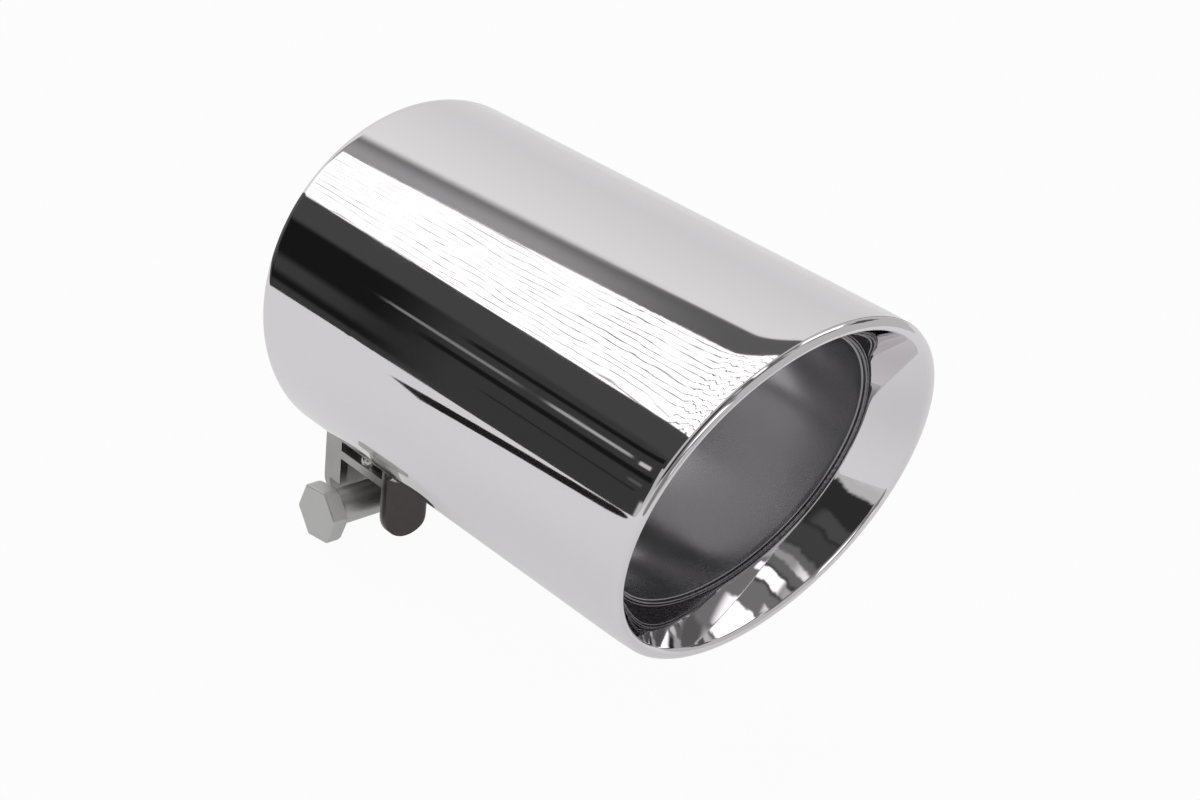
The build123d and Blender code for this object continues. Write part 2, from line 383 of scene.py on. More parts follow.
def mill_stainless(colours):
    """Stainless sheet as rolled, then pressed: grey, slightly uneven, with rubbed patches, and
    a darker colour on the cheek's face beside its weld bead, which is painted shade."""
    material, tree, coordinates, output = new_material("mill_finish_stainless_sheet")
    patch_size, shade_reach, shade_fade = 4.545 * MM, 1.4 * MM, 1.2 * MM
    patches = add_node(tree, "ShaderNodeTexNoise", inputs={
        "Vector": coordinates, "Scale": 1 / patch_size, "Detail": 5.0, "Roughness": 0.6})
    parts = add_node(tree, "ShaderNodeSeparateXYZ", inputs={0: coordinates})
    cheek_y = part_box("near_clamp_lug")[0][1]
    # Band round the cheek's face, darkened as painted shade and mixed over the mill colour
    painted_shade_mask = span(
        tree, parts.outputs["Y"], cheek_y - shade_reach, cheek_y + shade_reach, shade_fade)
    # The colour sockets of this node share their names with others, so they go by number
    first_colour, second_colour, mixed_colour = 6, 7, 2
    shaded_cheek_colour = add_node(tree, "ShaderNodeMix", {"data_type": "RGBA"}, {
        "Factor": painted_shade_mask, first_colour: linear(colours.mill),
        second_colour: linear(colours.cheek_painted_shade)})
    finish_metal(tree, output, shaded_cheek_colour.outputs[mixed_colour], patches, (0.3, 0.7), (0.24, 0.46),
                 patches, (0.3, 0.08 * MM))
    return material


def weld_metal(colours):
    """Weld metal, cooled in ripples: bright on its crests, dull in its hollows."""
    material, tree, coordinates, output = new_material("stainless_weld_metal")
    ripple_size = 1.111 * MM
    ripples = add_node(tree, "ShaderNodeTexNoise", inputs={
        "Vector": coordinates, "Scale": 1 / ripple_size, "Detail": 2.0})
    finish_metal(tree, output, linear(colours.weld), ripples, (0.3, 0.7), (0.10, 0.28),
                 ripples, (0.5, 0.2 * MM))
    return material


def seam_metal(colours):
    """Seam fused without filler, coloured darker grey than the welds as painted shade of the corner it
    lies in, with small glassy ripples that sparkle.
    """
    material, tree, coordinates, output = new_material("seam_metal_darkened_as_painted_shade")
    ripple_size = 2.381 * MM
    ripples = add_node(tree, "ShaderNodeTexNoise", inputs={
        "Vector": coordinates, "Scale": 1 / ripple_size, "Detail": 1.5})
    # The seam's darker grey is painted shade of the corner behind the bevel, not a colour of the metal
    finish_metal(tree, output, linear(colours.seam), ripples, (0.3, 0.7), (0.08, 0.24),
                 ripples, (0.7, 0.3 * MM))
    return material


def zinc_plating(colours):
    """Steel, forged or turned and zinc-plated: a soft silvery sheen with a slight cloud."""
    material, tree, coordinates, output = new_material("zinc_plated_steel")
    cloud_size = 2.857 * MM
    cloud = add_node(tree, "ShaderNodeTexNoise", inputs={
        "Vector": coordinates, "Scale": 1 / cloud_size, "Detail": 4.0})
    finish_metal(tree, output, linear(colours.zinc), cloud, (0.3, 0.7), (0.18, 0.32),
                 cloud, (0.15, 0.05 * MM))
    return material


def material_named(name, make, colours):
    """The material of that name, made the first time it is asked for."""
    return bpy.data.materials.get(name) or make(colours)


def grid_faces(rows, columns, close_rows):
    """Quads of a grid of rows by columns of points, numbered row by row, as an array."""
    last_row = rows if close_rows else rows - 1
    i, j = np.meshgrid(np.arange(last_row), np.arange(columns - 1), indexing="ij")
    here, there = i * columns, ((i + 1) % rows) * columns
    return np.stack([here + j, here + j + 1, there + j + 1, there + j], -1).reshape(-1, 4)


def build_piece(name, points, faces, material, sharp_angle):
    """Mesh object at the origin from points in metres, with doubles merged, faces turned
    outwards, smooth shading and sharp edges past an angle."""
    merge_distance = 1e-7
    mesh = bpy.data.meshes.new(name)
    mesh.from_pydata(points.reshape(-1, 3).tolist(), [], faces.tolist())
    work = bmesh.new()
    work.from_mesh(mesh)
    bmesh.ops.remove_doubles(work, verts=work.verts, dist=merge_distance)
    bmesh.ops.recalc_face_normals(work, faces=work.faces)
    work.to_mesh(mesh)
    work.free()
    mesh.shade_smooth()
    mesh.set_sharp_from_angle(angle=sharp_angle)
    mesh.materials.append(material)
    piece = bpy.data.objects.new(name, mesh)
    bpy.context.scene.collection.objects.link(piece)
    return piece


def slanted(theta, radius, depth, sizes):
    """Points on the circle of that radius, at that depth behind the slanted rim: x and z are
    radius times the sine and cosine of theta, and y is depth minus the axis length minus the
    slope of the slant times z."""
    slope = math.tan(sizes.slant_angle)
    axis_length = sizes.top_length - slope * sizes.shell_radius
    z = radius * np.cos(theta)
    return np.stack([radius * np.sin(theta), depth - axis_length - slope * z, z], -1)


def foot_radius(sizes):
    """Radius at the foot of the bevel: the tube's, less its ease, its lip and the bevel's fall."""
    return sizes.shell_radius - sizes.lip_ease - 2 * sizes.lip_radius - sizes.bevel_fall


def bevel_rows(theta, sizes):
    """Bevel from its collar to the lip, as rows of points and the lip's turn where it ends. The
    sheet leaves the collar on an arc, then runs to the lip on a line that bulges inwards by a
    parabola, so that it flares like a trumpet."""
    foot, bend, crown = foot_radius(sizes), sizes.foot_bend, sizes.bevel_crown
    centre_r = sizes.shell_radius - sizes.lip_ease - sizes.lip_radius
    centre_d = sizes.lip_radius / math.cos(sizes.slant_angle)
    rise, run = centre_r - foot, sizes.bevel_depth - centre_d
    slope = math.atan2(rise, run) - math.asin(sizes.lip_radius / math.hypot(rise, run))
    start = slope - crown
    reach = bend * math.tan(start / 2)
    arc_rows, flare_rows = 8, 26
    arc = [slanted(theta, foot + bend * (1 - math.cos(a)),
                   sizes.bevel_depth + reach - bend * math.sin(a), sizes)
           for a in np.linspace(0, start, arc_rows)]
    end_turn = math.pi - slope - crown
    top = lip_ring(theta, end_turn, sizes)
    outwards = np.stack([np.sin(theta), np.zeros_like(theta), np.cos(theta)], -1)
    bulge = math.hypot(rise, run) * math.tan(crown) / 4
    flare = [arc[-1] + t * (top - arc[-1]) - 4 * t * (1 - t) * bulge * outwards
             for t in np.linspace(0, 1, flare_rows)[1:]]
    return arc + flare, end_turn


def lip_ring(theta, turn, sizes):
    """Points on the rolled lip at one turn round its section. The lip is the surface of a ball
    of the lip's radius that rolls along the slanted rim: the centre line, plus the radius times
    (cosine of turn times outwards + sine of turn times forwards), where outwards is the radial
    direction and forwards the direction square to it and to the centre line."""
    slope = math.tan(sizes.slant_angle)
    stretch = math.sqrt(1 + slope**2)
    centre = slanted(
        theta, sizes.shell_radius - sizes.lip_ease - sizes.lip_radius,
        sizes.lip_radius * stretch, sizes)
    sine, cosine, none = np.sin(theta), np.cos(theta), np.zeros_like(theta)
    outwards = np.stack([sine, none, cosine], -1)
    forwards = np.stack([slope * sine * cosine, none - 1, -slope * sine**2], -1)
    forwards /= np.sqrt(1 + (slope * sine) ** 2)[:, None]
    return centre + sizes.lip_radius * (math.cos(turn) * outwards + math.sin(turn) * forwards)


def slit_gap(y, sizes):
    """Half the gap of the keyhole slit at each y: the slit's half width behind the stop hole,
    the height of the hole's circle at its front half, and nothing ahead of it."""
    centre = sizes.slit_stop_radius - sizes.slit_length
    circle = np.sqrt(np.maximum(sizes.slit_stop_radius**2 - (y - centre) ** 2, 0))
    return np.where(y < centre, circle, np.maximum(circle, sizes.slit_half_width))


def shell_surface(sizes):
    """Closed sheet of the shell as a grid: theta runs round the tube from one side of the slit
    to the other, and the rows run along the outside from the lip to the inlet, round the cut
    edge, forward along the bore, up the back of the bevel to its collar and down the bevel."""
    columns, ease_rows, body_rows, stop_rows, wall_rows, lip_rows = 481, 17, 40, 12, 26, 26
    share = np.linspace(0, 1, columns)
    theta = math.pi + share * math.tau
    outer, bore, inlet = sizes.shell_radius, sizes.bore_radius, sizes.inlet_radius
    foot = foot_radius(sizes)
    e = sizes.edge_round
    bend = 0.3 * e
    fold_step = 0.4 * MM
    slit_start = -sizes.slit_length
    stop_centre = slit_start + sizes.slit_stop_radius

    def square_ring(radius, y):
        gap = math.asin(float(slit_gap(np.array(y), sizes)) / radius)
        angle = math.pi + gap + share * (math.tau - 2 * gap)
        return np.stack([radius * np.sin(angle), np.full(columns, y), radius * np.cos(angle)], -1)

    stop = stop_centre - sizes.slit_stop_radius * np.cos(np.linspace(0, math.pi / 2, stop_rows))
    slit_rows = np.concatenate([stop, np.linspace(stop_centre, -e, wall_rows)[1:]])
    rim_depth = sizes.lip_radius / math.cos(sizes.slant_angle)
    eased = [slanted(theta, outer - sizes.lip_ease * (1 - t) ** 3,
                     rim_depth + t * sizes.ease_length, sizes)
             for t in np.linspace(0, 1, ease_rows)]
    start_ring = square_ring(outer, slit_start)
    body = eased + [eased[-1] + t * (start_ring - eased[-1])
                    for t in np.linspace(0, 1, body_rows)[1:]]
    outside = body + [square_ring(outer, y) for y in slit_rows[1:]]
    rim = [square_ring(outer - bend, -bend), square_ring(outer - e, 0),
           square_ring(inlet + e, 0), square_ring(inlet + bend, -bend)]
    inside = [square_ring(inlet, y) for y in slit_rows[::-1]]
    step = [square_ring(inlet, -sizes.inlet_depth), square_ring(bore, -sizes.inlet_depth)]
    fold = slanted(theta, bore, sizes.lip_radius, sizes)
    back_foot = foot + sizes.bevel_wall
    back = [fold, slanted(theta, bore - fold_step, sizes.lip_radius, sizes),
            slanted(theta, back_foot, sizes.bevel_depth, sizes),
            slanted(theta, back_foot, sizes.bevel_depth + sizes.collar_length, sizes),
            slanted(theta, foot, sizes.bevel_depth + sizes.collar_length, sizes)]
    bevel, end_turn = bevel_rows(theta, sizes)
    lip = [lip_ring(theta, turn, sizes) for turn in np.linspace(end_turn, 0, lip_rows)[1:-1]]
    rows = outside + rim + inside + step + back + bevel + lip
    faces = grid_faces(len(rows), columns, True)
    first_out = len(body) - 1
    count = len(slit_rows)
    first_in = len(outside) + len(rim) + count - 1
    steps = np.arange(count - 1)
    walls = []
    for column in (0, columns - 1):
        out_now = (first_out + steps) * columns + column
        in_now = (first_in - steps) * columns + column
        walls.append(np.stack([out_now, out_now + columns, in_now - columns, in_now], -1))
    return np.array(rows), np.concatenate([faces] + walls)


def sleeve_surface(sizes):
    """Closed wall of the sleeve, which narrows evenly to its front end in the collar: rows run
    along the outside from the square rear end to the slanted front, round its edge and back
    along the bore."""
    columns, edge_rows, bore_rows = 361, 7, 50
    theta = np.linspace(0, math.tau, columns)
    rear_outer = sleeve_high[0]
    outer = foot_radius(sizes) - sizes.sleeve_gap
    inner = outer - sizes.sleeve_wall
    rear = -sizes.inlet_depth
    front = sizes.bevel_depth + sizes.sleeve_setback
    e = sizes.sleeve_edge_radius

    def square_ring(radius, y):
        return np.stack([radius * np.sin(theta), np.full_like(theta, y),
                         radius * np.cos(theta)], -1)

    turns = np.linspace(0, math.pi / 2, edge_rows)
    outer_round = [slanted(theta, outer - e + e * math.cos(a), front + e - e * math.sin(a), sizes)
                   for a in turns]
    inner_round = [slanted(theta, inner + e - e * math.sin(a), front + e - e * math.cos(a), sizes)
                   for a in turns]
    inner_start, inner_end = inner_round[-1], square_ring(rear_outer - sizes.sleeve_wall, rear)
    bore = [inner_start + t * (inner_end - inner_start)
            for t in np.linspace(0, 1, bore_rows)[1:]]
    rows = [square_ring(rear_outer, rear)] + outer_round + inner_round + bore
    return np.array(rows), grid_faces(len(rows), len(theta), True)


def seam_surface(sizes):
    """Weld seam in the corner behind the foot of the bevel: a round bead carried along the
    slanted circle. Its radius is the bead's times a mean share plus two cosines of theta, each
    with its height, its count, and the height and count of a sine that shifts it."""
    bead, columns, rounds = sizes.seam_radius, 1601, 17
    mean_share, waves = 0.9, ((0.06, 130, 3.0, 7), (0.04, 23, 2.0, 5))
    theta = np.linspace(0, math.tau, columns)
    inset = bead + sizes.seam_clearance
    centre_r = foot_radius(sizes) - inset
    centre_d = sizes.bevel_depth + sizes.sleeve_setback - inset
    swell = bead * (mean_share + sum(
        height * np.cos(count * theta + sway * np.sin(sways * theta))
        for height, count, sway, sways in waves))
    rows = [slanted(theta, centre_r + swell * math.cos(a), centre_d + swell * math.sin(a), sizes)
            for a in np.linspace(0, math.tau, rounds)[:-1]]
    return np.array(rows), grid_faces(len(rows), len(theta), True)


def bolt_rings(x, radius, angle):
    """Points at x along the bolt and at that radius round its axis."""
    return np.stack([np.broadcast_to(x, angle.shape), bolt_y + radius * np.cos(angle),
                     bolt_z + radius * np.sin(angle)], -1)


def bolt_surface(clamp):
    """Bolt turned about its axis. The head's radius at each angle is a hexagon's, drawn in at
    the face by a quarter circle; the shank's is the thread's crest minus its depth times a ridge
    that winds once per pitch."""
    columns, edge_rows, shank_rows, rows_per_pitch = 145, 8, 24, 8
    angle = np.linspace(0, math.tau, columns) + clamp.head_turn
    even = np.ones_like(angle)
    flat = clamp.head_across_flats / 2
    corner = flat / math.cos(math.pi / 6)
    corner_kept, face_shares = 0.985, (0.4, 0.8, 0.96)
    sector = (angle - clamp.head_turn) % (math.pi / 3) - math.pi / 6
    hexagon = np.minimum(flat / np.cos(sector), corner * corner_kept)
    head_x = bolt_low[0]
    seat_x = head_x + clamp.head_height
    edge = clamp.head_edge_radius
    rows = [bolt_rings(head_x, 0 * angle, angle)]
    rows += [bolt_rings(head_x, share * (hexagon - edge), angle) for share in face_shares]
    rows += [bolt_rings(head_x + edge * (1 - math.cos(a)), hexagon - edge * (1 - math.sin(a)), angle)
             for a in np.linspace(0, math.pi / 2, edge_rows)]
    # Back edge of the head, in mm: how far before its seat, how much of the corner, and an inset
    for before, kept, inset in ((0.5, 1.0, 0.0), (0.1, 0.95, 0.0), (0.0, 0.94, 0.1)):
        radius = np.minimum(hexagon, corner * kept) - inset * MM
        rows.append(bolt_rings(seat_x - before * MM, radius, angle))
    # Fillet under the head, in mm: how far past the seat, and how much it adds to the shank
    for past, added in ((0.0, 0.35), (0.12, 0.12)):
        rows.append(bolt_rings(seat_x + past * MM, (clamp.shank_radius + added * MM) * even, angle))
    fillet_length, point_length = 0.35 * MM, 1.0 * MM
    end_x = bolt_high[0]
    thread_x = end_x - clamp.thread_length
    for x in np.linspace(seat_x + fillet_length, thread_x, shank_rows):
        rows.append(bolt_rings(x, clamp.shank_radius * even, angle))
    flank, crest, runout_turns = 1.15, 0.06, 1.5
    for x in np.arange(thread_x, end_x - point_length, clamp.thread_pitch / rows_per_pitch):
        wind = (x / clamp.thread_pitch - angle / math.tau) % 1
        ridge = np.clip(flank * np.abs(2 * wind - 1), crest, 1)
        runout = min(1, (x - thread_x) / (runout_turns * clamp.thread_pitch))
        rows.append(bolt_rings(x, clamp.shank_radius - clamp.thread_depth * ridge * runout, angle))
    # Rounded point: how far before the end, in mm, and how much of the shank's radius
    for before, share in ((1.0, 0.94), (0.3, 0.86), (0.0, 0.8), (0.0, 0.4), (0.0, 0.0)):
        rows.append(bolt_rings(end_x - before * MM, clamp.shank_radius * share * even, angle))
    return np.array(rows), grid_faces(len(rows), len(angle), False)


def hand_over(piece, slot_name, *nodes):
    """Lets a finished piece stand for its CAD nodes on the one body."""
    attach(piece, next(iter(frame["bodies"])))
    if nodes:
        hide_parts(*nodes)


class EXHAUST_OT_shell(bpy.types.Operator):
    """Build the polished shell with its lip, bevel and clamp slit"""

    bl_idname = "exhaust.shell"
    bl_label = "Polished Shell"

    def execute(self, context):
        scene = context.scene
        points, faces = shell_surface(scene.tip_sizes)
        finish = material_named(
            "polished_stainless_sheet", polished_stainless, scene.finish_colours)
        piece = build_piece("polished_shell", points, faces, finish, sharp_angle=math.radians(35))
        hand_over(piece, "polished_stainless", "outer_shell")
        return {"FINISHED"}


class EXHAUST_OT_sleeve(bpy.types.Operator):
    """Build the satin inner sleeve and the weld seam at its front"""

    bl_idname = "exhaust.sleeve"
    bl_label = "Satin Sleeve and Seam"

    def execute(self, context):
        scene = context.scene
        points, faces = sleeve_surface(scene.tip_sizes)
        finish = material_named("satin_stainless_tube", satin_stainless, scene.finish_colours)
        sleeve = build_piece("satin_sleeve", points, faces, finish, sharp_angle=math.radians(50))
        hand_over(sleeve, "satin_stainless", "inner_sleeve")
        points, faces = seam_surface(scene.tip_sizes)
        finish = material_named("seam_metal_darkened_as_painted_shade", seam_metal, scene.finish_colours)
        seam = build_piece("bevel_seam", points, faces, finish, sharp_angle=math.radians(80))
        hand_over(seam, "stainless_weld", "seam_weld")
        return {"FINISHED"}


class EXHAUST_OT_clamp(bpy.types.Operator):
    """Build the clamp bolt and finish the clamp's pressings, welds, washer and nut"""

    bl_idname = "exhaust.clamp"
    bl_label = "Clamp"

    def execute(self, context):
        scene = context.scene
        colours = scene.finish_colours
        zinc = material_named("zinc_plated_steel", zinc_plating, colours)
        mill = material_named("mill_finish_stainless_sheet", mill_stainless, colours)
        weld = material_named("stainless_weld_metal", weld_metal, colours)
        points, faces = bolt_surface(scene.clamp_sizes)
        bolt = build_piece("bolt_with_thread", points, faces, zinc, sharp_angle=math.radians(28))
        hand_over(bolt, "zinc_plated_steel", "clamp_bolt")
        finishes = {
            "near_clamp_lug": mill, "far_clamp_lug": mill, "centring_ring": mill,
            "near_lug_weld": weld, "far_lug_weld": weld,
            "nut_washer": zinc, "clamp_nut": zinc,
        }
        for node, finish in finishes.items():
            frame["nodes"][node].material_slots[0].material = finish
        return {"FINISHED"}


class EXHAUST_OT_stage(bpy.types.Operator):
    """Set up the paper, the room round it and the camera"""

    bl_idname = "exhaust.stage"
    bl_label = "Stage"

    def execute(self, context):
        scene = context.scene
        studio = scene.studio_settings
        lay_paper(scene, studio)
        lay_strip(scene, studio)
        light_room(scene)
        aim_camera(scene, studio)
        scene.view_settings.view_transform = "Standard"
        return {"FINISHED"}


def flat_sheet(scene, name, corners, material):
    """Sheet whose one face has those corners, linked to the scene."""
    mesh = bpy.data.meshes.new(name)
    mesh.from_pydata(corners, [], [tuple(range(len(corners)))])
    mesh.materials.append(material)
    sheet = bpy.data.objects.new(name, mesh)
    scene.collection.objects.link(sheet)
    return sheet


def lay_paper(scene, studio):
    """White paper under the tip: a flat sheet at the part's lowest point. It is near pure white
    to the camera and greyer in the metal, and its left edge leans out towards the outlet."""
    turn_y, lean, shown, mirrored = 0.217, 0.37, 0.95, 0.47
    floor = cad_box[0][2]
    left, front, reach = studio.paper_left, studio.paper_front, studio.paper_reach
    corners = [(left + lean * (front - turn_y), front, floor), (reach, front, floor),
               (reach, reach, floor), (left, reach, floor), (left, turn_y, floor)]
    material, tree, _, output = new_material("white_seamless_paper")
    path = add_node(tree, "ShaderNodeLightPath")
    diffuse = add_node(tree, "ShaderNodeBsdfDiffuse", inputs={"Color": linear(studio.paper_colour)})
    white = add_node(tree, "ShaderNodeEmission", inputs={"Color": (1, 1, 1, 1), "Strength": 1.0})
    in_metal = add_node(tree, "ShaderNodeMath", {"operation": "MULTIPLY"}, {
        0: path.outputs["Is Glossy Ray"], 1: mirrored})
    share = add_node(tree, "ShaderNodeMath", {"operation": "MULTIPLY_ADD"}, {
        0: path.outputs["Is Camera Ray"], 1: shown, 2: in_metal.outputs[0]})
    mix = add_node(tree, "ShaderNodeMixShader", inputs={
        0: share.outputs[0], 1: diffuse.outputs[0], 2: white.outputs[0]})
    tree.links.new(mix.outputs[0], output.inputs["Surface"])
    flat_sheet(scene, "white_paper", corners, material)


def lay_strip(scene, studio):
    """Dark strip lying on the paper to the left, which only the polished metal sees. It widens
    to a flattened half circle at its outlet end."""
    near, far = np.array((-0.222, 0.028)), np.array((-0.146, 0.068))
    near_half, far_half, flatness, lift, bend_points = 0.026, 0.015, 0.6, 0.5 * MM, 13
    run = (far - near) / np.linalg.norm(far - near)
    side = np.array((run[1], -run[0]))
    bend = np.linspace(0, math.pi, bend_points)[:, None]
    flat = np.concatenate([
        near + near_half * (np.cos(bend) * side - flatness * np.sin(bend) * run),
        [far - far_half * side, far + far_half * side]])
    corners = np.column_stack([flat, np.full(len(flat), cad_box[0][2] + lift)])
    material, tree, _, output = new_material("dark_card")
    card = add_node(tree, "ShaderNodeBsdfDiffuse", inputs={"Color": linear(studio.strip_colour)})
    tree.links.new(card.outputs[0], output.inputs["Surface"])
    strip = flat_sheet(scene, "dark_strip", corners.tolist(), material)
    strip.visible_camera = False
    strip.visible_diffuse = False
    strip.visible_shadow = False


def room_edge(tree, turn, along, place, drift, softness):
    """0 before an edge of the room and 1 past it. The edge lies at its place in degrees plus
    its drift times how far the direction points along the tube."""
    moved = add_node(tree, "ShaderNodeMath", {"operation": "MULTIPLY_ADD"}, {
        0: along, 1: -drift, 2: turn})
    return add_node(tree, "ShaderNodeMapRange", {"interpolation_type": "SMOOTHSTEP"}, {
        "Value": moved.outputs[0], "From Min": place - softness / 2,
        "From Max": place + softness / 2}).outputs[0]


def noise_of(tree, turn, along, turn_scale, along_scale, detail):
    """Noise from about 0.3 to 0.7 over the room, with its own scale round and along the tube."""
    across = add_node(tree, "ShaderNodeMath", {"operation": "MULTIPLY"}, {0: turn, 1: turn_scale})
    down = add_node(tree, "ShaderNodeMath", {"operation": "MULTIPLY"}, {0: along, 1: along_scale})
    place = add_node(tree, "ShaderNodeCombineXYZ", inputs={
        0: across.outputs[0], 1: down.outputs[0], 2: 0.0})
    return add_node(tree, "ShaderNodeTexNoise", {"noise_dimensions": "2D"}, {
        "Vector": place.outputs[0], "Scale": 1.0, "Detail": detail}).outputs["Fac"]


def span(tree, value, low, high, softness):
    """1 between two values and 0 outside them, with soft ends."""
    distance = add_node(tree, "ShaderNodeMath", {"operation": "SUBTRACT"}, {
        0: value, 1: (low + high) / 2})
    away = add_node(tree, "ShaderNodeMath", {"operation": "ABSOLUTE"}, {0: distance.outputs[0]})
    half = (high - low) / 2
    return add_node(tree, "ShaderNodeMapRange", {"interpolation_type": "SMOOTHSTEP"}, {
        "Value": away.outputs[0], "From Min": half - softness / 2, "From Max": half + softness / 2,
        "To Min": 1.0, "To Max": 0.0}).outputs[0]


def paint_shapes(tree, turn, along, level, shapes):
    """Lays flat shapes over a level, one after the other. Each is its own level, its span round
    the tube in degrees with the softness of its sides, and its span along the tube likewise."""
    for shade, turn_low, turn_high, turn_soft, along_low, along_high, along_soft in shapes:
        cover = add_node(tree, "ShaderNodeMath", {"operation": "MULTIPLY"}, {
            0: span(tree, turn, turn_low, turn_high, turn_soft),
            1: span(tree, along, along_low, along_high, along_soft)})
        level = add_node(tree, "ShaderNodeMix", inputs={
            "Factor": cover.outputs[0], "A": level, "B": shade}).outputs[0]
    return level


# Long edges of the room: the turn where each lies, in degrees, and how far it drifts along it
trim_turn, trim_drift = 116.2, 80.0
window_turn, window_drift = 134.3, 77.3
foot_turn, foot_drift = 244.4, -20.2
doorway_turn = 260.0

# Walls round the tube, from straight down by the right: turn in degrees and grey level
wall_levels = (
    (0.0, 0.78), (66.0, 0.95), (76.0, 0.74), (118.0, 0.72), (150.0, 0.80), (172.0, 0.86),
)


def curtain_folds(tree, turn, along):
    """1 on the thin lines between a curtain's folds. They run from end to end of the window,
    evenly spaced between its top and its foot, and wander by a noise drawn out along them."""
    fold_count, wander_folds, fray = 13.0, 3.2, 0.30
    line_core, line_edge = 0.19, 0.27
    from_top = add_node(tree, "ShaderNodeMath", {"operation": "MULTIPLY_ADD"}, {
        0: along, 1: -window_drift, 2: turn})
    height = add_node(tree, "ShaderNodeMath", {"operation": "MULTIPLY_ADD"}, {
        0: along, 1: foot_drift - window_drift, 2: foot_turn - window_turn})
    share = add_node(tree, "ShaderNodeMath", {"operation": "SUBTRACT"}, {
        0: from_top.outputs[0], 1: window_turn})
    place = add_node(tree, "ShaderNodeMath", {"operation": "DIVIDE"}, {
        0: share.outputs[0], 1: height.outputs[0]})
    wander = noise_of(tree, turn, along, turn_scale=0.05, along_scale=20.0, detail=3.0)
    drift = add_node(tree, "ShaderNodeMath", {"operation": "MULTIPLY"}, {
        0: wander, 1: wander_folds})
    count = add_node(tree, "ShaderNodeMath", {"operation": "MULTIPLY_ADD"}, {
        0: place.outputs[0], 1: fold_count, 2: drift.outputs[0]})
    step = add_node(tree, "ShaderNodeMath", {"operation": "PINGPONG"}, {0: count.outputs[0], 1: 0.5})
    fine = noise_of(tree, turn, along, turn_scale=1.3, along_scale=240.0, detail=2.0)
    edge = add_node(tree, "ShaderNodeMath", {"operation": "MULTIPLY_ADD"}, {
        0: fine, 1: fray, 2: step.outputs[0]})
    return add_node(tree, "ShaderNodeMapRange", {"interpolation_type": "SMOOTHSTEP"}, {
        "Value": edge.outputs[0], "From Min": line_core, "From Max": line_edge,
        "To Min": 1.0, "To Max": 0.0}).outputs[0]


# Shapes below the window, laid in this order: a darker far half with a dull patch, a post, a
# line of light in three lengths, more posts and marks, and a pale wall at its near end. Each has
# its grey level, its turn from and to with the softness of its sides, and its span along likewise
doorway_shapes = (
    (0.010, 246.0, 286.0, 3.0, 0.700, 0.90, 0.040),
    (0.050, 270.0, 280.0, 6.0, 0.715, 0.90, 0.060),
    (0.010, 251.0, 253.4, 0.8, 0.500, 0.685, 0.010),
    (0.24, 257.4, 258.9, 0.7, 0.664, 0.714, 0.010),
    (0.46, 257.4, 258.9, 0.7, 0.614, 0.650, 0.008),
    (0.60, 257.8, 259.8, 0.7, 0.545, 0.596, 0.006),
    (0.010, 262.6, 265.6, 1.2, 0.500, 0.700, 0.010),
    (0.110, 268.5, 270.0, 1.0, 0.540, 0.600, 0.010),
    (0.020, 272.8, 273.8, 0.8, 0.560, 0.672, 0.010),
    (0.55, 277.0, 300.0, 3.0, 0.30, 0.505, 0.02),
)

# Shapes of the near end, ahead of the outlet, in the same columns: pale wall, dark alcove,
# panes of light, a lamp
near_shapes = (
    (0.46, 300.0, 345.0, 24.0, -0.60, 0.30, 0.20),
    (0.63, 280.0, 297.5, 5.0, -0.70, 0.10, 0.20),
    (0.030, 134.0, 272.0, 3.0, -0.56, -0.13, 0.08),
    (0.075, 240.5, 251.5, 4.0, -0.56, -0.33, 0.06),
    (0.060, 221.0, 238.0, 5.0, -0.56, -0.20, 0.06),
    (0.15, 200.0, 220.0, 4.0, -0.56, -0.20, 0.06),
    (0.95, 208.0, 214.0, 2.5, -0.60, -0.44, 0.06),
    (0.35, 208.0, 213.5, 3.0, -0.46, -0.26, 0.10),
    (1.60, 188.0, 198.0, 2.0, -0.455, -0.10, 0.03),
    (0.45, 188.0, 197.0, 3.0, -0.56, -0.46, 0.05),
    (0.19, 165.0, 186.0, 4.0, -0.56, -0.20, 0.06),
    (0.80, 169.0, 177.0, 2.0, -0.52, -0.43, 0.02),
    (1.80, 136.0, 165.0, 3.0, -0.425, -0.10, 0.05),
    (0.14, 170.0, 236.0, 8.0, -0.76, -0.56, 0.06),
    (0.50, 160.0, 175.0, 3.0, -0.58, -0.50, 0.03),
    (0.10, 112.0, 128.0, 4.0, -0.45, -0.08, 0.06),
    (0.24, 215.0, 345.0, 12.0, -1.00, -0.60, 0.14),
    (1.60, 228.0, 276.0, 6.0, -1.00, -0.81, 0.08),
    (1.60, 325.0, 337.0, 3.0, -0.95, -0.88, 0.02),
)


